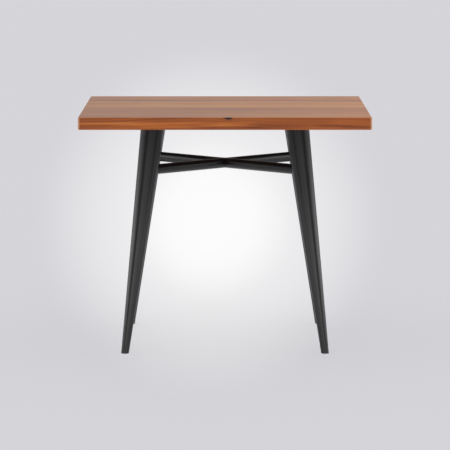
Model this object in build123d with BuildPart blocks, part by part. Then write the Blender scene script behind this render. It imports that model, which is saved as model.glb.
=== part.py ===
from build123d import *
import os

# A square cafe table: an edge-glued board top on four splayed conical steel legs, held by a crossed
# tube brace. Millimetres, +Z up, X along the boards, -Y at the front. The origin is the middle of the
# footprint, on the floor. Each physical piece is its own solid and gets its own file in parts/.

os.makedirs("parts", exist_ok=True)

# ---------------------------------------------------------------- driving dimensions

top_side = 900
table_height = 750
top_thickness = 38
top_corner_radius = 8
top_arris_radius = 3
board_widths = [120, 114, 95, 94, 115, 117, 113, 132]  # front to back

dowel_radius = 5
dowel_length = 60
dowel_end_chamfer = 1
dowel_reaches = [-350, -100, 100, 350]  # along every glue line
dowel_clearance = 0.05
dowel_end_gap = 1

foot_reach = 313  # centre of a foot from the table's middle, along X and along Y
head_reach = 225  # centre of a leg at the underside of the top
foot_radius = 12
head_radius = 37.5
leg_wall = 2
leg_overrun = 30  # spare length at each end of a leg's cone, cut off level

glide_height = 4
glide_edge_radius = 1
glide_stem_radius = 7.5
glide_stem_length = 26
glide_rib_width = 1.6
glide_rib_pitch = 5
glide_rib_count = 3
glide_rib_clearance = 0.05

plate_side = 110
plate_thickness = 5
plate_corner_radius = 12
plate_arris = 0.8
plate_hole_spacing = 84
plate_hole_radius = 3.3

screw_radius = 2.95
screw_length = 20
screw_head_radius = 5.25
screw_head_height = 3.3
screw_head_dome = 1.8
screw_socket_radius = 2.31
screw_socket_depth = 1.8
washer_radius = 6
washer_bore_radius = 3.2
washer_thickness = 1.6

insert_length = 16
insert_core_radius = 4.8
insert_bore_radius = 3
insert_thread_radius = 5.95
insert_thread_pitch = 2
insert_hole_radius = 6
insert_hole_depth = 18

brace_height = 569  # centre line of the brace tubes
brace_radius = 15.9
brace_wall = 2

brace_bead = 2.5
centre_bead = 0.9  # thin, because equal tubes meet flush at the crown of the crossing
head_bead = 4
head_bead_chamfer = 3

# ---------------------------------------------------------------- derived sizes and places

top_underside = table_height - top_thickness
top_middle = table_height - top_thickness / 2
plate_underside = top_underside - plate_thickness
screw_seat = plate_underside - washer_thickness

leg_run = foot_reach - head_reach
leg_length = (2 * leg_run**2 + top_underside**2) ** 0.5
leg_flare = (head_radius - foot_radius) / leg_length

corners = {
    "front_left": (-1, -1),
    "front_right": (1, -1),
    "rear_left": (-1, 1),
    "rear_right": (1, 1),
}
from_bottom = (Align.CENTER, Align.CENTER, Align.MIN)


def leg_reach(height):
    """Distance of a leg's centre line from the table's middle, along X and along Y."""
    return foot_reach - leg_run * height / top_underside


def leg_radius(along):
    """Outer radius of a leg, by the distance along its centre line from the floor."""
    return foot_radius + leg_flare * along


def leg_plane(side_x, side_y):
    """Plane square to a leg's centre line at the floor, its normal running up the leg."""
    foot = (side_x * foot_reach, side_y * foot_reach, 0)
    up_the_leg = (-side_x * leg_run, -side_y * leg_run, top_underside)
    return Plane(origin=foot, x_dir=(side_x, -side_y, 0), z_dir=up_the_leg)


def leg_cone(side_x, side_y, growth):
    """Solid cone on a leg's centre line, its surface moved out from the leg's by growth."""
    bottom_radius = leg_radius(-leg_overrun) + growth
    top_radius = leg_radius(leg_length + leg_overrun) + growth
    with BuildPart(leg_plane(side_x, side_y).offset(-leg_overrun)) as cone:
        Cone(bottom_radius, top_radius, leg_length + 2 * leg_overrun, align=from_bottom)
    return cone.part


def brace_rod(side_x, side_y, radius):
    """Solid rod from the middle of the cross to one leg's centre line."""
    reach = leg_reach(brace_height)
    run = reach * 2**0.5
    with BuildPart(Plane(origin=(0, 0, brace_height), z_dir=(side_x, side_y, 0))) as rod:
        Cylinder(radius, run, align=from_bottom)
    return rod.part


def through_rod(radius):
    """Solid rod along the whole diagonal from the front left leg to the rear right leg."""
    with BuildPart() as rod:
        add(brace_rod(-1, -1, radius))
        add(brace_rod(1, 1, radius))
    return rod.part


def save(piece, name):
    piece.label = name
    export_step(piece, f"parts/{name}.step")


def plate_centre(side_x, side_y):
    reach = round(leg_reach(plate_underside))
    return side_x * reach, side_y * reach


def screw_points(height):
    """Centres of all sixteen leg screws at one height."""
    points = []
    for side_x, side_y in corners.values():
        centre_x, centre_y = plate_centre(side_x, side_y)
        for step_x in (-plate_hole_spacing / 2, plate_hole_spacing / 2):
            for step_y in (-plate_hole_spacing / 2, plate_hole_spacing / 2):
                points.append((centre_x + step_x, centre_y + step_y, height))
    return points


# ---------------------------------------------------------------- the board top

glue_lines = []
board_spans = []
board_front = -top_side / 2
for width in board_widths:
    board_spans.append((board_front, board_front + width))
    board_front += width
    glue_lines.append(board_front)
glue_lines.pop()  # the last board's back edge is the back of the table

for number, (front, back) in enumerate(board_spans, start=1):
    own_joints = [line for line in glue_lines if front <= line <= back]
    dowel_points = [(x, line, top_middle) for line in own_joints for x in dowel_reaches]
    insert_points = [point for point in screw_points(top_underside) if front < point[1] < back]
    with BuildPart() as board:
        with BuildSketch(Plane.XY.offset(top_underside)):
            RectangleRounded(top_side, top_side, top_corner_radius)
        extrude(amount=top_thickness)
        fillet(board.faces().filter_by(Axis.Z).edges(), top_arris_radius)
        if front > -top_side / 2:
            split(bisect_by=Plane(origin=(0, front, 0), z_dir=(0, 1, 0)), keep=Keep.TOP)
        if back < top_side / 2:
            split(bisect_by=Plane(origin=(0, back, 0), z_dir=(0, 1, 0)), keep=Keep.BOTTOM)
        with Locations(*dowel_points):
            Cylinder(
                dowel_radius + dowel_clearance,
                dowel_length + 2 * dowel_end_gap,
                rotation=(90, 0, 0),
                mode=Mode.SUBTRACT,
            )
        if insert_points:
            with Locations(*insert_points):
                Cylinder(insert_hole_radius, insert_hole_depth, align=from_bottom, mode=Mode.SUBTRACT)
    save(board.part, f"top_board_{number}")

with BuildPart() as dowel:
    Cylinder(dowel_radius, dowel_length, rotation=(90, 0, 0))
    chamfer(dowel.edges().filter_by(GeomType.CIRCLE), dowel_end_chamfer)

with BuildPart() as edge_dowels:
    with Locations(*[(x, line, top_middle) for line in glue_lines for x in dowel_reaches]):
        add(dowel.part)
save(edge_dowels.part, "edge_dowels")

# ---------------------------------------------------------------- legs, plates, glides and their welds

for name, (side_x, side_y) in corners.items():
    leg_body = leg_cone(side_x, side_y, 0)

    with BuildPart() as leg:
        add(leg_body)
        add(leg_cone(side_x, side_y, -leg_wall), mode=Mode.SUBTRACT)
        split(bisect_by=Plane.XY.offset(glide_height), keep=Keep.TOP)
        split(bisect_by=Plane.XY.offset(plate_underside), keep=Keep.BOTTOM)
    save(leg.part, f"leg_{name}")

    with BuildPart() as plate:
        with BuildSketch(Plane.XY.offset(plate_underside)):
            with Locations(plate_centre(side_x, side_y)):
                RectangleRounded(plate_side, plate_side, plate_corner_radius)
                with GridLocations(plate_hole_spacing, plate_hole_spacing, 2, 2):
                    Circle(plate_hole_radius, mode=Mode.SUBTRACT)
        extrude(amount=plate_thickness)
        chamfer(plate.faces().sort_by(Axis.Z)[0].outer_wire().edges(), plate_arris)
    save(plate.part, f"mounting_plate_{name}")

    with BuildPart() as head_weld:
        add(leg_cone(side_x, side_y, head_bead))
        split(bisect_by=Plane.XY.offset(plate_underside), keep=Keep.BOTTOM)
        split(bisect_by=Plane.XY.offset(plate_underside - head_bead), keep=Keep.TOP)
        chamfer(head_weld.faces().sort_by(Axis.Z)[0].edges(), head_bead_chamfer)
        add(leg_body, mode=Mode.SUBTRACT)
    save(head_weld.part, f"head_weld_{name}")

    with BuildPart() as glide:
        add(leg_body)
        split(bisect_by=Plane.XY, keep=Keep.TOP)
        split(bisect_by=Plane.XY.offset(glide_height), keep=Keep.BOTTOM)
        fillet(glide.faces().sort_by(Axis.Z)[0].edges(), glide_edge_radius)
        with BuildSketch(leg_plane(side_x, side_y).offset(glide_height / 2)):
            Circle(glide_stem_radius)
        extrude(amount=glide_stem_length)
        for rib in range(glide_rib_count):
            along = glide_stem_length - rib * glide_rib_pitch
            rib_radius = leg_radius(along - glide_rib_width) - leg_wall - glide_rib_clearance
            with BuildSketch(leg_plane(side_x, side_y).offset(along)):
                Circle(rib_radius)
            extrude(amount=-glide_rib_width)
    save(glide.part, f"foot_glide_{name}")

# ---------------------------------------------------------------- crossed brace and its welds

with BuildPart() as brace_long:
    add(through_rod(brace_radius))
    add(through_rod(brace_radius - brace_wall), mode=Mode.SUBTRACT)
    add(leg_cone(-1, -1, 0), mode=Mode.SUBTRACT)
    add(leg_cone(1, 1, 0), mode=Mode.SUBTRACT)
save(brace_long.part, "brace_tube_long")

for name, (side_x, side_y) in corners.items():
    half_brace = side_x != side_y
    if half_brace:
        with BuildPart() as brace_half:
            add(brace_rod(side_x, side_y, brace_radius))
            add(brace_rod(side_x, side_y, brace_radius - brace_wall), mode=Mode.SUBTRACT)
            add(leg_cone(side_x, side_y, 0), mode=Mode.SUBTRACT)
            add(through_rod(brace_radius), mode=Mode.SUBTRACT)
        save(brace_half.part, f"brace_tube_{name}")

    with BuildPart() as brace_weld:
        add(brace_rod(side_x, side_y, brace_radius + brace_bead))
        add(leg_cone(side_x, side_y, brace_bead), mode=Mode.INTERSECT)
        add(leg_cone(side_x, side_y, 0), mode=Mode.SUBTRACT)
        add(brace_rod(side_x, side_y, brace_radius), mode=Mode.SUBTRACT)
    save(brace_weld.part, f"brace_weld_{name}")

with BuildPart() as centre_welds:
    add(brace_rod(-1, 1, brace_radius + centre_bead))
    add(brace_rod(1, -1, brace_radius + centre_bead))
    add(through_rod(brace_radius + centre_bead), mode=Mode.INTERSECT)
    add(through_rod(brace_radius), mode=Mode.SUBTRACT)
    add(brace_rod(-1, 1, brace_radius), mode=Mode.SUBTRACT)
    add(brace_rod(1, -1, brace_radius), mode=Mode.SUBTRACT)
save(centre_welds.part, "brace_centre_welds")

# ---------------------------------------------------------------- screws, washers and inserts

with BuildPart() as plate_screws:
    with Locations(*screw_points(screw_seat - screw_head_height)):
        Cylinder(screw_head_radius, screw_head_height, align=from_bottom)
    fillet(plate_screws.edges().group_by(Axis.Z)[0], screw_head_dome)
    with Locations(*screw_points(screw_seat)):
        Cylinder(screw_radius, screw_length, align=from_bottom)
    with BuildSketch(Plane.XY.offset(screw_seat - screw_head_height)):
        with Locations(*[point[:2] for point in screw_points(0)]):
            RegularPolygon(screw_socket_radius, 6)
    extrude(amount=screw_socket_depth, mode=Mode.SUBTRACT)
save(plate_screws.part, "plate_screws")

with BuildPart() as plate_washers:
    with Locations(*screw_points(screw_seat)):
        Cylinder(washer_radius, washer_thickness, align=from_bottom)
        Cylinder(washer_bore_radius, washer_thickness, align=from_bottom, mode=Mode.SUBTRACT)
save(plate_washers.part, "plate_washers")

thread_profile = [(insert_bore_radius, 0), (insert_core_radius, 0)]
for turn in range(int(insert_length / insert_thread_pitch)):
    root = turn * insert_thread_pitch
    thread_profile.append((insert_thread_radius, root + insert_thread_pitch / 2))
    thread_profile.append((insert_core_radius, root + insert_thread_pitch))
thread_profile.append((insert_bore_radius, insert_length))

with BuildPart() as insert:
    with BuildSketch(Plane.XZ):
        with BuildLine():
            Polyline(*thread_profile, close=True)
        make_face()
    revolve(axis=Axis.Z)

with BuildPart() as threaded_inserts:
    with Locations(*screw_points(top_underside)):
        add(insert.part)
save(threaded_inserts.part, "threaded_inserts")
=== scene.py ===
"""Looks for the square cafe table: lacquered board top, black powder-coated steel legs and brace.

Metres, +Z up, X along the boards, -Y the front, origin on the floor under the middle of the top.
"""

import math

import bmesh
import bpy
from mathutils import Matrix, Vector


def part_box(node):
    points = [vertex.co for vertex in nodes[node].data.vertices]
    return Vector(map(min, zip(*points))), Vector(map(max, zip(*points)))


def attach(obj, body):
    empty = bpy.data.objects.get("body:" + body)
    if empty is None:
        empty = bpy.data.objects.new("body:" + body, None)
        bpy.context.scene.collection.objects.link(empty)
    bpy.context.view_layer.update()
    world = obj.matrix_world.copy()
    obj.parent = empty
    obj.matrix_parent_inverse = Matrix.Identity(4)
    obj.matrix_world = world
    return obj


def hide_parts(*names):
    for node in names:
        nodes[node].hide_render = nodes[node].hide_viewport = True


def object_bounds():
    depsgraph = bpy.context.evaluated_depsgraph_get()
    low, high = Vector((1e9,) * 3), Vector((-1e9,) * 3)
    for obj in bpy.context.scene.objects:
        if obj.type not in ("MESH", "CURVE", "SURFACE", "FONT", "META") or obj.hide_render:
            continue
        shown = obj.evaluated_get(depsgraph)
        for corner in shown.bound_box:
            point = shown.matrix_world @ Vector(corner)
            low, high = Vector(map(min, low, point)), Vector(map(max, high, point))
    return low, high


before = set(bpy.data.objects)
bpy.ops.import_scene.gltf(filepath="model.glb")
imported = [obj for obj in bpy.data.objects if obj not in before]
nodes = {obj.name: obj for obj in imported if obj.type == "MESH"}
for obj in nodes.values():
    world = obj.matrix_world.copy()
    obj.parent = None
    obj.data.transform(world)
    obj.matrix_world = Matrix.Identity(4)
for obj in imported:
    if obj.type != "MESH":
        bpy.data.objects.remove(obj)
cad_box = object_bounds()

CORNERS = {"front_left": (-1, -1), "front_right": (1, -1), "rear_left": (-1, 1), "rear_right": (1, 1)}

BRACE_NODES = ("brace_tube_long", "brace_tube_rear_left", "brace_tube_front_right", "brace_centre_welds")


def link_to_scene(name, data):
    made = bpy.data.objects.new(name, data)
    bpy.context.scene.collection.objects.link(made)
    return made


# ---------------------------------------------------------------- camera

CAMERA_DISTANCE = 9.5955  # level distance to the middle of the table
CAMERA_HEIGHT = 1.4808
CAMERA_PITCH = math.radians(6.6185)  # below the horizon
CAMERA_LENS = 240.1  # millimetres


def make_camera():
    camera = link_to_scene("camera", bpy.data.cameras.new("camera"))
    camera.location = (0, -CAMERA_DISTANCE, CAMERA_HEIGHT)
    camera.rotation_euler = (math.pi / 2 - CAMERA_PITCH, 0, 0)
    camera.data.lens = CAMERA_LENS
    camera.data.clip_end = 2 * FLOOR_REACH
    bpy.context.scene.camera = camera


# ---------------------------------------------------------------- node graph helper


class Graph:
    """Builds a material's node tree. Values are numbers or output sockets."""

    def __init__(self, name):
        self.material = bpy.data.materials.new(name)
        self.material.use_nodes = True
        self.tree = self.material.node_tree
        self.shader = self.tree.nodes["Principled BSDF"]

    def node(self, kind, **settings):
        made = self.tree.nodes.new(kind)
        for key, value in settings.items():
            setattr(made, key, value)
        return made

    def feed(self, socket, value):
        if isinstance(value, bpy.types.NodeSocket):
            self.tree.links.new(value, socket)
        else:
            socket.default_value = value

    def math(self, operation, *values):
        made = self.node("ShaderNodeMath", operation=operation)
        for socket, value in zip(made.inputs, values):
            self.feed(socket, value)
        return made.outputs[0]

    def add(self, *values):
        total = values[0]
        for value in values[1:]:
            total = self.math("ADD", total, value)
        return total

    def times(self, *values):
        product = values[0]
        for value in values[1:]:
            product = self.math("MULTIPLY", product, value)
        return product

    def minus(self, a, b):
        return self.math("SUBTRACT", a, b)

    def ramp(self, value, low, high, to_low=0.0, to_high=1.0):
        """Smooth step of value from low..high to to_low..to_high."""
        made = self.node("ShaderNodeMapRange", interpolation_type="SMOOTHSTEP")
        for socket, item in zip(made.inputs, (value, low, high, to_low, to_high)):
            self.feed(socket, item)
        return made.outputs[0]

    def position(self):
        """Place on the piece, in metres, as x, y and z."""
        if not hasattr(self, "_position"):
            place = self.node("ShaderNodeTexCoord").outputs["Object"]
            split = self.node("ShaderNodeSeparateXYZ")
            self.feed(split.inputs[0], place)
            self._position = tuple(split.outputs)
        return self._position

    def vector(self, x, y, z):
        made = self.node("ShaderNodeCombineXYZ")
        for socket, value in zip(made.inputs, (x, y, z)):
            self.feed(socket, value)
        return made.outputs[0]

    def noise(self, stretch, seed, detail=2.0, roughness=0.5, colour=False):
        """Noise with stretch = (x, y, z) waves per metre, mean 0.5."""
        parts = [self.times(axis, wave) for axis, wave in zip(self.position(), stretch)]
        made = self.node("ShaderNodeTexNoise", noise_dimensions="4D")
        self.feed(made.inputs["Vector"], self.vector(*parts))
        self.feed(made.inputs["W"], seed)
        self.feed(made.inputs["Scale"], 1.0)
        self.feed(made.inputs["Detail"], detail)
        self.feed(made.inputs["Roughness"], roughness)
        return made.outputs["Color" if colour else "Fac"]

    def colours(self, value, stops):
        """Colour ramp through stops = [(place, (r, g, b)), ...]."""
        made = self.node("ShaderNodeValToRGB")
        elements = made.color_ramp.elements
        while len(elements) < len(stops):
            elements.new(0.5)
        for element, (place, colour) in zip(elements, stops):
            element.position = place
            element.color = (*colour, 1)
        self.feed(made.inputs[0], value)
        return made.outputs[0]

    def mix(self, share, a, b, blend="MIX"):
        """Colour a turned into b by share. The node keeps its colours in sockets 6 and 7, and gives 2."""
        made = self.node("ShaderNodeMix", data_type="RGBA", blend_type=blend)
        self.feed(made.inputs["Factor"], share)
        for socket, value in ((made.inputs[6], a), (made.inputs[7], b)):
            self.feed(socket, value if isinstance(value, bpy.types.NodeSocket) else (*value, 1))
        return made.outputs[2]

    def bump(self, height, distance, strength):
        """Relief on the surface, distance in metres."""
        made = self.node("ShaderNodeBump")
        self.feed(made.inputs["Strength"], strength)
        self.feed(made.inputs["Distance"], distance)
        self.feed(made.inputs["Height"], height)
        self.feed(self.shader.inputs["Normal"], made.outputs[0])

    def surface(self, **values):
        """Sets the shader's sockets by name, with _ for a space."""
        for name, value in values.items():
            self.feed(self.shader.inputs[name.replace("_", " ")], value)
        return self.material


# ---------------------------------------------------------------- wood of the top

WOOD_LIGHT = (0.80, 0.285, 0.055)
WOOD_MIDDLE = (0.56, 0.150, 0.019)
WOOD_DARK = (0.33, 0.076, 0.010)
WOOD_DEEP = (0.10, 0.021, 0.004)
# Painted sheen: the pale colour that the rounded upright corners of the top are mixed towards, in place of
# their whitish reflection.
WOOD_PAINTED_SHEEN = (0.47, 0.25, 0.125)
KNOT_HEART = (0.018, 0.008, 0.005)
TOP_FACE_TINT = (0.98, 1.22, 0.9)  # what the colour of the upper face is multiplied by, which makes the top yellower than the sides
# Painted shade: the two dark colours that the underside of the top is turned to, standing for the shade
# below the top.
UNDERSIDE_SHADE_DARK = (0.02, 0.01, 0.006)
UNDERSIDE_SHADE_BROWN = (0.055, 0.019, 0.009)

GRAIN_WANDER = 0.060  # metres that the grain strays from a straight line
RINGS_PER_METRE = 125
RING_UNEVENNESS = 3.0  # rings more or fewer where the tree grew slowly or fast
KNOT_PUSH = 0.014  # metres that a knot pushes the rings aside
KNOT_PUSH_FALL = -0.16  # how fast the push dies away from the knot

# Darkness runs from 0, light wood, to 1, deep brown. These are its base and what adds to it.
BASE_DARKNESS = 0.30
RING_WEIGHT = 0.20
STREAK_WEIGHT = 0.62
BAND_WEIGHT = 0.75
FIBRE_WEIGHT = 0.34
PORE_WEIGHT = 0.16
END_GRAIN_WEIGHT = 0.22
GLUE_LINE_WEIGHT = 0.20
GLUE_LINE_WIDTH = 0.0009  # on each side of the joint

TOP_Z = cad_box[1].z
FRONT_Y = cad_box[0].y
FRONT_BOARD = "top_board_1"
SEED_STEP = 3.7  # between one board's noise and the next one's

# Per board, front to back: tone (higher is darker), and the pith's place in y and z from the
# board's own middle. A pith far below gives plain long streaks, one close by gives cathedral figure.
BOARDS = {
    "top_board_1": (0.00, 0.020, -0.150),
    "top_board_2": (0.10, -0.035, -0.080),
    "top_board_3": (0.13, 0.060, 0.110),
    "top_board_4": (0.08, -0.050, -0.120),
    "top_board_5": (-0.08, 0.030, 0.095),
    "top_board_6": (-0.06, -0.060, -0.090),
    "top_board_7": (0.16, 0.045, -0.140),
    "top_board_8": (0.03, -0.020, 0.120),
}

# Knots by board: middle as x, y and z, and half sizes along x, y and z.
KNOTS = {
    "top_board_1": [(0.010, FRONT_Y, TOP_Z - 0.001, 0.0125, 0.006, 0.0052)],
    "top_board_3": [(0.165, -0.165, TOP_Z, 0.0080, 0.007, 0.0200)],
    "top_board_6": [(-0.290, 0.160, TOP_Z, 0.0075, 0.006, 0.0200)],
}

# Streaks on the front edge: middle's x, its depth below the top, half length, half height, and
# the darkness added.
FRONT_STREAKS = [
    (-0.375, 0.0185, 0.100, 0.0040, -0.32),
    (-0.370, 0.0260, 0.090, 0.0028, 0.10),
    (-0.370, 0.0335, 0.090, 0.0030, -0.24),
    (-0.180, 0.0215, 0.150, 0.0075, -0.30),
    (-0.180, 0.0340, 0.110, 0.0030, -0.20),
    (-0.190, 0.0060, 0.190, 0.0040, 0.04),
    (0.025, 0.0230, 0.055, 0.0075, -0.30),
    (-0.100, 0.0235, 0.028, 0.0023, 0.25),
    (-0.100, 0.0115, 0.140, 0.0028, 0.12),
    (-0.260, 0.0295, 0.150, 0.0022, -0.17),
    (-0.040, 0.0350, 0.060, 0.0018, 0.12),
    (0.120, 0.0275, 0.110, 0.0070, 0.19),
    (0.340, 0.0255, 0.055, 0.0024, 0.28),
    (0.410, 0.0295, 0.050, 0.0024, 0.24),
    (0.390, 0.0120, 0.060, 0.0080, -0.12),
    (0.270, 0.0335, 0.130, 0.0030, -0.10),
]


def centred(graph, value, span):
    """Noise round 0, spread over span."""
    return graph.times(graph.minus(value, 0.5), span)


def knot_nearness(graph, knot, wobble):
    """Distance from a knot's middle, 1 at its rim."""
    centre, half = knot[:3], knot[3:]
    squares = []
    for axis, middle, size in zip(graph.position(), centre, half):
        offset = graph.math("DIVIDE", graph.minus(axis, middle), size)
        squares.append(graph.times(offset, offset))
    return graph.add(graph.math("SQRT", graph.add(*squares)), wobble)


def growth_rings(graph, board, seed, pith, nearness):
    """Dark late wood of the rings round the pith, pushed aside by knots, and its tone by year."""
    _, y, z = graph.position()
    low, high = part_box(board)
    middle = (low + high) / 2
    wander = graph.node("ShaderNodeSeparateColor")
    graph.feed(wander.inputs[0], graph.noise((1.6, 3.0, 3.0), seed, detail=1.5, colour=True))
    ring_y = graph.add(graph.minus(y, middle.y + pith[0]), centred(graph, wander.outputs[0], GRAIN_WANDER))
    ring_z = graph.add(graph.minus(z, middle.z + pith[1]), centred(graph, wander.outputs[1], GRAIN_WANDER))
    radius = graph.math("SQRT", graph.add(graph.times(ring_y, ring_y), graph.times(ring_z, ring_z)))
    for near in nearness:
        swell = graph.math("EXPONENT", graph.times(graph.times(near, near), KNOT_PUSH_FALL))
        radius = graph.add(radius, graph.times(swell, KNOT_PUSH))

    pace = graph.noise((0.5, 22, 22), seed + 7, detail=1)
    turns = graph.add(graph.times(radius, RINGS_PER_METRE), graph.times(pace, RING_UNEVENNESS))
    ring = graph.math("FRACT", turns)
    late_wood = graph.times(graph.ramp(ring, 0.25, 0.82), graph.ramp(ring, 1.0, 0.88))
    year = graph.node("ShaderNodeTexWhiteNoise", noise_dimensions="1D")
    graph.feed(year.inputs["W"], graph.add(graph.math("FLOOR", turns), seed * 17))
    return late_wood, graph.times(late_wood, graph.add(0.35, year.outputs["Value"]))


def calmed(graph, figure, edge):
    """The front edge is plainer towards its right end."""
    x = graph.position()[0]
    calm = graph.times(edge, graph.ramp(x, 0.02, 0.16, 0.10, 0.62))
    return graph.add(graph.times(figure, graph.minus(1.0, calm)), graph.times(calm, 0.06))


def streaked(graph, darkness, edge):
    """Long streaks with ragged outlines on the front edge."""
    x, _, z = graph.position()
    ragged_x = graph.add(x, centred(graph, graph.noise((25, 60, 420), 5.5), 0.08))
    ragged_z = graph.add(z, centred(graph, graph.noise((5, 60, 260), 8.5), 0.006))
    for centre_x, depth, half_x, half_z, added in FRONT_STREAKS:
        offset_x = graph.math("DIVIDE", graph.minus(ragged_x, centre_x), half_x)
        offset_z = graph.math("DIVIDE", graph.minus(ragged_z, TOP_Z - depth), half_z)
        squares = graph.add(
            graph.times(offset_x, offset_x, offset_x, offset_x), graph.times(offset_z, offset_z)
        )
        shape = graph.math("EXPONENT", graph.times(squares, -0.8))
        darkness = graph.add(darkness, graph.times(shape, added, edge))
    return darkness


def joint_darkness(graph, board, sideways):
    """End grain takes the stain darker, and a glue line shows as a hair line."""
    y = graph.position()[1]
    low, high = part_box(board)
    end_grain = graph.times(graph.ramp(sideways, 0.6, 0.95), END_GRAIN_WEIGHT)
    to_joint = graph.math("MINIMUM", graph.minus(y, low.y), graph.minus(high.y, y))
    return end_grain, graph.ramp(to_joint, GLUE_LINE_WIDTH, 0.0, 0.0, GLUE_LINE_WEIGHT)


def stained(graph, darkness, nearness):
    """The wood's colour, with its knots."""
    colour = graph.colours(
        darkness,
        [(0.0, WOOD_LIGHT), (0.34, WOOD_MIDDLE), (0.68, WOOD_DARK), (1.0, WOOD_DEEP)],
    )
    for near in nearness:
        halo = graph.ramp(near, 2.1, 0.9, 0.0, 0.55)
        colour = graph.mix(halo, colour, WOOD_DARK)
        colour = graph.mix(graph.ramp(near, 1.12, 0.86), colour, KNOT_HEART)
    return colour


def painted_light_and_tint(graph, colour, sideways, facing_up):
    """Pale painted sheen on the upright corners, a yellower tint on top, and painted shade darkening the
    underside.
    """
    upright = graph.ramp(graph.math("ABSOLUTE", facing_up), 0.6, 0.3)
    # Painted sheen: the rounded upright corners are mixed toward a pale colour that stands in for their
    # reflection.
    corner = graph.times(graph.ramp(sideways, 0.10, 0.40), graph.ramp(sideways, 0.995, 0.93), upright)
    colour = graph.mix(graph.times(corner, 0.55), colour, WOOD_PAINTED_SHEEN)
    # The upper face alone is multiplied by a yellower tint.
    colour = graph.mix(graph.ramp(facing_up, 0.75, 0.97), colour, TOP_FACE_TINT, blend="MULTIPLY")
    # Painted shade: the faces underneath are darkened to stand for the shade below the top.
    shaded_underside = graph.mix(0.30, UNDERSIDE_SHADE_BROWN, graph.mix(0.75, colour, UNDERSIDE_SHADE_DARK))
    return graph.mix(graph.ramp(facing_up, -0.75, -0.97), colour, shaded_underside)


def wood_material(board, seed, tone, pith):
    graph = Graph(board)
    knot_wobble = centred(graph, graph.noise((70, 70, 90), seed + 3, detail=3), 0.5)
    nearness = [knot_nearness(graph, knot, knot_wobble) for knot in KNOTS.get(board, [])]
    late_wood, ring_tone = growth_rings(graph, board, seed, pith, nearness)
    fibres = graph.noise((7, 330, 330), seed + 11, detail=4, roughness=0.6)
    streaks = graph.noise((2.6, 75, 75), seed + 13, detail=3, roughness=0.55)
    bands = graph.noise((1.1, 16, 16), seed + 17, detail=2)
    pores = graph.ramp(graph.noise((34, 1500, 1500), seed + 19, detail=1), 0.63, 0.74)
    edge = graph.ramp(graph.position()[1], FRONT_Y + 0.030, FRONT_Y + 0.004)

    figure = graph.add(
        graph.times(ring_tone, RING_WEIGHT),
        centred(graph, streaks, STREAK_WEIGHT),
        centred(graph, bands, BAND_WEIGHT),
    )
    if board == FRONT_BOARD:
        figure = calmed(graph, figure, edge)
    darkness = graph.add(
        BASE_DARKNESS + tone,
        figure,
        centred(graph, fibres, FIBRE_WEIGHT),
        graph.times(pores, PORE_WEIGHT),
    )
    if board == FRONT_BOARD:
        darkness = streaked(graph, darkness, edge)

    normal = graph.node("ShaderNodeSeparateXYZ")
    graph.feed(normal.inputs[0], graph.node("ShaderNodeNewGeometry").outputs["Normal"])
    sideways = graph.math("ABSOLUTE", normal.outputs[0])
    darkness = graph.add(darkness, *joint_darkness(graph, board, sideways))
    colour = painted_light_and_tint(graph, stained(graph, darkness, nearness), sideways, normal.outputs[2])

    relief = graph.add(
        graph.times(fibres, 0.7), graph.times(pores, -0.8), graph.times(late_wood, 0.25)
    )
    graph.bump(relief, 0.00025, 0.35)
    roughness = graph.add(0.31, centred(graph, fibres, 0.14), graph.times(pores, 0.10))
    return graph.surface(Base_Color=colour, Roughness=roughness, IOR=1.45)


# ---------------------------------------------------------------- other materials


def black_steel():
    """Semi-gloss black powder coat: faint orange peel and slight changes of gloss."""
    graph = Graph("black_powder_coat")
    peel = graph.noise((520, 520, 520), 2.0, detail=1)
    cloud = graph.noise((9, 9, 9), 4.0, detail=3)
    dust = graph.ramp(graph.noise((180, 180, 180), 6.0, detail=2), 0.60, 0.72)
    colour = graph.mix(cloud, (0.0030, 0.0030, 0.0032), (0.0060, 0.0060, 0.0064))
    colour = graph.mix(graph.times(dust, 0.25), colour, (0.02, 0.02, 0.02))
    graph.bump(peel, 0.00006, 0.5)
    roughness = graph.add(0.29, graph.times(cloud, 0.10), graph.times(dust, 0.06))
    return graph.surface(Base_Color=colour, Roughness=roughness)


def black_nylon():
    """Moulded nylon with a fine spark-eroded grain and scuffs."""
    graph = Graph("black_nylon")
    grain = graph.noise((1400, 1400, 1400), 1.0, detail=2)
    scuffs = graph.ramp(graph.noise((120, 120, 700), 3.0, detail=3), 0.55, 0.75)
    colour = graph.mix(graph.times(scuffs, 0.5), (0.012, 0.012, 0.012), (0.04, 0.039, 0.037))
    graph.bump(grain, 0.00008, 0.6)
    return graph.surface(Base_Color=colour, Roughness=graph.add(0.48, graph.times(scuffs, 0.2)))


def zinc_steel():
    """Bright zinc plate with a faint bluish cast and turning marks."""
    graph = Graph("zinc_steel")
    marks = graph.noise((300, 300, 2600), 1.0, detail=2)
    cloud = graph.noise((160, 160, 160), 2.0, detail=2)
    colour = graph.mix(cloud, (0.50, 0.51, 0.52), (0.66, 0.66, 0.64))
    graph.bump(marks, 0.00003, 0.5)
    roughness = graph.add(0.24, graph.times(cloud, 0.16))
    return graph.surface(Base_Color=colour, Metallic=1.0, Roughness=roughness)


def insert_brass():
    """Turned brass with faint tool marks round the thread."""
    graph = Graph("insert_brass")
    cloud = graph.noise((220, 220, 220), 2.0, detail=2)
    turning = graph.noise((200, 200, 3200), 5.0, detail=1)
    colour = graph.mix(cloud, (0.60, 0.42, 0.16), (0.74, 0.56, 0.26))
    graph.bump(turning, 0.00003, 0.5)
    roughness = graph.add(0.26, graph.times(cloud, 0.14))
    return graph.surface(Base_Color=colour, Metallic=1.0, Roughness=roughness)


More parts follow.
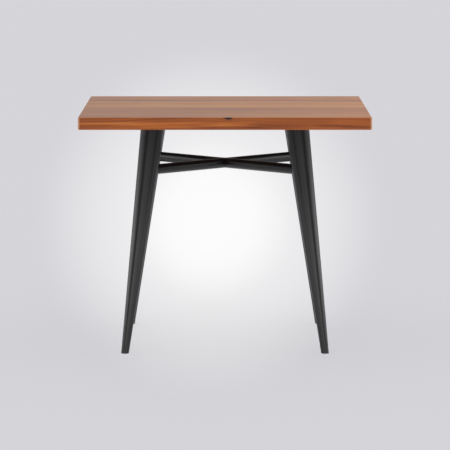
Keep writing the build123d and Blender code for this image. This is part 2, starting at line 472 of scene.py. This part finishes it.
def dowel_beech():
    """Bare beech, its fibres along the dowel and its flecks darker."""
    graph = Graph("dowel_beech")
    fibres = graph.noise((420, 20, 420), 1.0, detail=3)
    flecks = graph.ramp(graph.noise((900, 120, 900), 3.0, detail=1), 0.58, 0.7)
    colour = graph.mix(fibres, (0.52, 0.33, 0.18), (0.72, 0.52, 0.33))
    colour = graph.mix(graph.times(flecks, 0.4), colour, (0.34, 0.19, 0.09))
    graph.bump(fibres, 0.0001, 0.5)
    return graph.surface(Base_Color=colour, Roughness=graph.add(0.62, graph.times(fibres, 0.1)))


def dress(node_name, material):
    """Gives a CAD node its finish."""
    piece = nodes[node_name]
    piece.data.materials.clear()
    piece.data.materials.append(material)


def dress_nodes(black):
    for number, (board, (tone, *pith)) in enumerate(BOARDS.items(), start=1):
        dress(board, wood_material(board, number * SEED_STEP, tone, pith))
    nylon = black_nylon()
    for corner in CORNERS:
        for part in ("leg", "mounting_plate", "head_weld", "brace_weld"):
            dress(f"{part}_{corner}", black)
        dress(f"foot_glide_{corner}", nylon)
    for name in BRACE_NODES:
        dress(name, black)
    zinc = zinc_steel()
    dress("plate_screws", zinc)
    dress("plate_washers", zinc)
    dress("threaded_inserts", insert_brass())
    dress("edge_dowels", dowel_beech())


# ---------------------------------------------------------------- weld beads

RIPPLE_PITCH = 0.0022
RIPPLE_DEPTH = 0.11  # of the bead's size
RIPPLE_LAG = 0.8  # how far a ripple's middle trails its two toes, in pitches
RIPPLE_SHARPNESS = 0.7  # power of the sine, where under 1 gives broad backs and sharp grooves
BEAD_CROWN = 0.26  # height of a bead's face above the line between its toes, of its size
BEAD_FACE = (-1.0, -0.85, -0.6, -0.3, 0.0, 0.3, 0.6, 0.85, 1.0)  # points across it, toe to toe
BEAD_ROOT = 0.3  # depth of its hidden root, of its size
BEAD_SINK = 0.00015  # toes lie this deep in the steel, so that no gap shows
SIZE_WOBBLES = ((0.05, 210, 0.0), (0.03, 530, 1.0))  # share of the size, radians per metre, start
CROSSING_SWELL = 1.2  # how much bigger a bead of the crossing is at the side than at its crown
CROSSING_REACH = math.radians(89)  # how far its arc goes up and down from the side
LOOP_STATIONS = 720
ARC_STATIONS = 240
FACET_WINDOW = 12  # stations averaged each way, which evens out the facets of the CAD mesh


def evened(vectors):
    """A closed run of vectors, each averaged with its neighbours."""
    window = range(-FACET_WINDOW, FACET_WINDOW + 1)
    means = []
    for middle in range(len(vectors)):
        nearby = (vectors[(middle + step) % len(vectors)] for step in window)
        means.append(sum(nearby, Vector()) / len(window))
    return means


def loop_turns():
    """Angles of the stations once round a seam."""
    return [2 * math.pi * step / LOOP_STATIONS for step in range(LOOP_STATIONS)]


def head_seam(corner):
    """Stations round the seam of a leg and its plate's underside: (point, normals of both, size)."""
    plate_low, plate_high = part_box(f"mounting_plate_{corner}")
    weld_low, weld_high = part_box(f"head_weld_{corner}")
    middle = (plate_low + plate_high) / 2
    middle.z = plate_low.z
    reach = plate_high.x - plate_low.x
    points, normals = [], []
    for turn in loop_turns():
        outward = Vector((math.cos(turn), math.sin(turn), 0))
        start = middle + outward * reach - Vector((0, 0, BEAD_SINK))
        _, point, normal, _ = nodes[f"leg_{corner}"].ray_cast(start, -outward)
        points.append(point)
        normals.append(normal)
    down = Vector((0, 0, -1))
    size = weld_high.z - weld_low.z
    return [
        (point, down, normal.normalized(), size)
        for point, normal in zip(evened(points), evened(normals))
    ]


def tube_shape():
    """Middle of the crossed brace, the radius of its tubes and the directions of its two diagonals."""
    low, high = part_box("brace_tube_long")
    diagonal = Vector((1, 1, 0)).normalized()
    return (low + high) / 2, (high.z - low.z) / 2, diagonal, Vector((-diagonal.y, diagonal.x, 0))


def brace_seam(corner):
    """The same stations where a brace tube meets a leg."""
    middle, radius, _, _ = tube_shape()
    side_x, side_y = CORNERS[corner]
    along = Vector((side_x, side_y, 0)).normalized()
    across = Vector((-along.y, along.x, 0))
    low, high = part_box(f"brace_weld_{corner}")
    size = (high.z - low.z) / 2 - radius
    rings = [across * math.cos(turn) + Vector((0, 0, math.sin(turn))) for turn in loop_turns()]
    points, normals = [], []
    for ring in rings:
        _, point, normal, _ = nodes[f"leg_{corner}"].ray_cast(middle + ring * radius, along)
        points.append(point)
        normals.append(normal)
    return [
        (point, ring, normal.normalized(), size)
        for point, ring, normal in zip(evened(points), rings, evened(normals))
    ]


def crossing_seams():
    """The four corners of the cross, each an arc over the side from its crown to its underside."""
    middle, radius, first, second = tube_shape()
    low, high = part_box("brace_centre_welds")
    crown_size = (high.z - low.z) / 2 - radius
    seams = []
    for sign_first, sign_second in ((1, 1), (-1, 1), (-1, -1), (1, -1)):
        seam = []
        for step in range(ARC_STATIONS + 1):
            turn = CROSSING_REACH * (2 * step / ARC_STATIONS - 1)
            level, rise = math.cos(turn), Vector((0, 0, math.sin(turn)))
            one = first * sign_first * level
            other = second * sign_second * level
            point = middle + (one + other + rise) * radius
            seam.append((point, one + rise, other + rise, crown_size * (1 + CROSSING_SWELL * level)))
        seams.append(seam)
    return seams


def bead_ring(station, travelled, pitch):
    """One section of a bead: its root in the steel, then its face from toe to toe."""
    point, one, other, size = station
    out = (one + other).normalized()
    along_one = (other - one * one.dot(other)).normalized()
    along_other = (one - other * one.dot(other)).normalized()
    size *= 1 + sum(share * math.sin(travelled * rate + start) for share, rate, start in SIZE_WOBBLES)
    toe_one = point + along_one * size - one * BEAD_SINK
    toe_other = point + along_other * size - other * BEAD_SINK
    ring = [point - out * size * BEAD_ROOT]
    for place in BEAD_FACE:
        bulge = 1 - place * place
        phase = travelled / pitch - RIPPLE_LAG * bulge
        ripple = abs(math.sin(math.pi * phase)) ** RIPPLE_SHARPNESS
        height = size * (BEAD_CROWN + RIPPLE_DEPTH * ripple) * bulge
        ring.append(toe_one.lerp(toe_other, (place + 1) / 2) + out * height)
    return ring


def bead_tube(seam, closed, first_vertex):
    """Points and faces of the bead along one seam, whose points are numbered from first_vertex."""
    width = len(BEAD_FACE) + 1
    points = [station[0] for station in seam]
    steps = [(after - before).length for before, after in zip(points, points[1:])]
    total = sum(steps) + (points[0] - points[-1]).length * closed
    pitch = total / round(total / RIPPLE_PITCH)
    vertices, faces = [], []
    travelled = 0.0
    for station, step in zip(seam, steps + [0.0]):
        vertices.extend(bead_ring(station, travelled, pitch))
        travelled += step
    last = len(seam) if closed else len(seam) - 1
    for here in range(last):
        after = (here + 1) % len(seam)
        for k in range(width):
            beside = (k + 1) % width
            corner_pairs = ((here, k), (here, beside), (after, beside), (after, k))
            faces.append([first_vertex + row * width + column for row, column in corner_pairs])
    if not closed:
        faces.append([first_vertex + k for k in range(width)][::-1])
        faces.append([first_vertex + last * width + k for k in range(width)])
    return vertices, faces


def weld_bead(name, seams, closed, material, stands_for):
    """Rippled fillet weld along seams, one closed tube each, in place of the CAD's plain ring."""
    vertices, faces = [], []
    for seam in seams:
        seam_vertices, seam_faces = bead_tube(seam, closed, len(vertices))
        vertices.extend(seam_vertices)
        faces.extend(seam_faces)
    mesh = bpy.data.meshes.new(name)
    mesh.from_pydata(vertices, [], faces)
    skin = bmesh.new()
    skin.from_mesh(mesh)
    bmesh.ops.recalc_face_normals(skin, faces=skin.faces)
    skin.to_mesh(mesh)
    skin.free()
    mesh.polygons.foreach_set("use_smooth", [True] * len(mesh.polygons))
    mesh.materials.append(material)
    bead = link_to_scene(name, mesh)
    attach(bead, "root")
    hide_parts(stands_for)
    return bead


def make_beads(black):
    """The welds by place: one list for each side's legs, and one for the middle of the brace."""
    beads = {"left": [], "right": [], "middle": []}
    for corner in CORNERS:
        side = corner.split("_")[1]
        for part, seam in (("head", head_seam(corner)), ("brace", brace_seam(corner))):
            name = f"{part}_bead_{corner}"
            beads[side].append(weld_bead(name, [seam], True, black, f"{part}_weld_{corner}"))
    crossing = weld_bead("brace_centre_beads", crossing_seams(), False, black, "brace_centre_welds")
    beads["middle"].append(crossing)
    return beads


# ---------------------------------------------------------------- floor and light

FLOOR_REACH = 60  # from the middle of the floor to each side
FLOOR_COLOURS = ((0.317, 0.314, 0.328), (0.323, 0.320, 0.334))
FLOOR_FILL = 5.02  # strength of the floor's own light, which casts no shadow

WORLD_COLOUR = (0.67, 0.665, 0.695)
WORLD_STRENGTH = 0.72
SOFTBOX_COLOUR = (1.0, 0.968, 0.955)

GLOW_RISE = math.radians(0.10)  # the pools of light lie this much above the camera's aim
GLOW_TURN = math.radians(0.27)  # and this much to its left
POOL_COLOUR = (0.969, 1.0, 0.851)  # warmer than the rest, so that the lit floor turns a neutral white
POOL_GAIN = 2000  # moves strength from the falloff to the lamp's power, which evens the sampling
GLOW_POOLS = {"wide_pool": (7.0, 16.4), "inner_pool": (3.43, 9.6)}  # cone in degrees, power

# Softboxes: name, what they light, place, target, width, height and how bright the face is. Those of
# the sides are given for the right one, and the left ones are their mirror images.
SIDE_BOXES = [
    ("front_box", "legs", (1.25, -2.2, 0.37), (0.3, -0.3, 0.33), 1.5, 0.40, 2.6),
    ("low_box", "legs", (1.9, -0.25, 0.38), (0, -0.25, 0.36), 1.9, 0.50, 2.6),
    ("inner_box", "legs", (-1.1, -1.0, 0.13), (0.3, -0.3, 0.2), 1.3, 0.26, 1.9),
    ("high_box", "brace", (4.2, 0.8, 1.5), (0, 0, 0.6), 3.0, 2.0, 1.5),
    ("rim_box", "wood", (3.0, -0.6, 0.5), (0, -0.3, 0.7), 3.4, 1.2, 2.4),
]
MIDDLE_BOXES = [
    ("centre_low_box", "legs", (0, -1.5, 0.25), (0, -0.3, 0.25), 1.4, 0.4, 1.4),
    ("wood_front_box", "wood", (0, -4.0, 1.6), (0, -0.45, 0.73), 3.0, 2.0, 0.30),
    ("top_right_box", "wood", (1.6, 0, 2.4), (0, 0, 0.75), 1.2, 1.2, 4.5),
]
FLAG_PLACE = (1.62, -1.55, 0.86)  # of the right flag
FLAG_SIZE = (1.3, 1.68)


def sheet(name, half_width, half_height, material):
    """Flat rectangle, facing +Z until it is turned."""
    mesh = bpy.data.meshes.new(name)
    outline = [(-1, -1), (1, -1), (1, 1), (-1, 1)]
    mesh.from_pydata([(x * half_width, y * half_height, 0) for x, y in outline], [], [(0, 1, 2, 3)])
    mesh.materials.append(material)
    return link_to_scene(name, mesh)


def turn_towards(thing, place, target):
    """Puts a lamp or a flag in its place, its -Z side towards the target."""
    thing.location = place
    thing.rotation_mode = "QUATERNION"
    thing.rotation_quaternion = (Vector(target) - Vector(place)).to_track_quat("-Z", "Y")


def make_floor():
    graph = Graph("floor_paper")
    tooth = graph.noise((40, 40, 40), 1.0, detail=3)
    colour = graph.mix(tooth, *FLOOR_COLOURS)
    paper = graph.surface(Base_Color=colour, Roughness=0.9, Specular_IOR_Level=0.1)
    floor = sheet("floor", FLOOR_REACH, FLOOR_REACH, paper)
    return floor


def place_light(name, data, place, target):
    light = link_to_scene(name, data)
    turn_towards(light, place, target)
    light.visible_camera = False
    return light


def link_light(light, objects):
    """Lets a light fall on these objects alone."""
    group = bpy.data.collections.new(light.name + "_link")
    for item in objects:
        group.objects.link(item)
    light.light_linking.receiver_collection = group


def softbox(name, lit, place, target, width, height, radiance):
    """Rectangular light for the lit pieces, its power worked out from how bright its face is."""
    data = bpy.data.lights.new(name, "AREA")
    data.color = SOFTBOX_COLOUR
    data.shape = "RECTANGLE"
    data.size = width
    data.size_y = height
    data.energy = radiance * math.pi * width * height
    link_light(place_light(name, data, place, target), lit)


def flag(name, place, width, height):
    """Black card facing the table, which shows only as a dark band in the gloss of the legs."""
    graph = Graph(name)
    cloth = graph.mix(graph.noise((30, 30, 30), 1.0), (0.01, 0.01, 0.01), (0.02, 0.02, 0.02))
    card = sheet(name, width / 2, height / 2, graph.surface(Base_Color=cloth, Roughness=1.0))
    turn_towards(card, place, (0, 0, place[2]))
    for ray in ("camera", "diffuse", "transmission", "shadow"):
        setattr(card, f"visible_{ray}", False)


def floor_pool(name, floor, cone, power):
    """Soft round pool of light on the floor behind the table, as bright far off as near by."""
    data = bpy.data.lights.new(name, "SPOT")
    data.energy = power * POOL_GAIN
    data.color = POOL_COLOUR
    data.spot_size = math.radians(cone)
    data.spot_blend = 1.0
    data.shadow_soft_size = 0.0
    data.use_shadow = False
    data.use_nodes = True
    tree = data.node_tree
    falloff = tree.nodes.new("ShaderNodeLightFalloff")
    falloff.inputs["Strength"].default_value = 1 / POOL_GAIN
    path = tree.nodes.new("ShaderNodeLightPath")
    product = tree.nodes.new("ShaderNodeMath")
    product.operation = "MULTIPLY"
    tree.links.new(falloff.outputs["Constant"], product.inputs[0])
    tree.links.new(path.outputs["Ray Length"], product.inputs[1])
    tree.links.new(product.outputs[0], tree.nodes["Emission"].inputs["Strength"])
    pitch = CAMERA_PITCH - GLOW_RISE
    place = Vector((0, -CAMERA_DISTANCE, CAMERA_HEIGHT))
    level = math.cos(pitch)
    aim = Vector((-math.sin(GLOW_TURN) * level, math.cos(GLOW_TURN) * level, -math.sin(pitch)))
    link_light(place_light(name, data, place, place + aim), [floor])


def light_world():
    world = bpy.data.worlds.new("studio")
    bpy.context.scene.world = world
    world.use_nodes = True
    background = world.node_tree.nodes["Background"]
    background.inputs["Color"].default_value = (*WORLD_COLOUR, 1)
    background.inputs["Strength"].default_value = WORLD_STRENGTH


def leg_pieces(side, beads):
    names = [f"{part}_{row}_{side}" for part in ("leg", "foot_glide") for row in ("front", "rear")]
    return [nodes[name] for name in names] + beads[side]


def light_table(beads):
    """Softboxes for the wood, the brace and the legs, where a side's legs have boxes of their own."""
    legs = {side: leg_pieces(side, beads) for side in ("left", "right")}
    lit = {
        "wood": [nodes[name] for name in BOARDS],
        "brace": [nodes[name] for name in BRACE_NODES] + beads["middle"],
        "legs": legs["left"] + legs["right"],
    }
    for side, sign in (("left", -1), ("right", 1)):
        side_lit = lit | {"legs": legs[side]}
        for name, group, place, target, width, height, radiance in SIDE_BOXES:
            place = (sign * place[0], *place[1:])
            target = (sign * target[0], *target[1:])
            softbox(f"{side}_{name}", side_lit[group], place, target, width, height, radiance)
        flag(f"{side}_flag", (sign * FLAG_PLACE[0], *FLAG_PLACE[1:]), *FLAG_SIZE)
    for name, group, *setting in MIDDLE_BOXES:
        softbox(name, lit[group], *setting)


def light_floor(floor):
    fill = bpy.data.lights.new("floor_fill", "SUN")
    fill.energy = FLOOR_FILL
    fill.use_shadow = False
    link_light(place_light("floor_fill", fill, (0, 0, 10), (0, 0, 0)), [floor])
    for name, (cone, power) in GLOW_POOLS.items():
        floor_pool(name, floor, cone, power)


make_camera()
black = black_steel()
dress_nodes(black)
floor = make_floor()
beads = make_beads(black)
light_world()
light_table(beads)
light_floor(floor)
bpy.context.scene.view_settings.view_transform = "Standard"
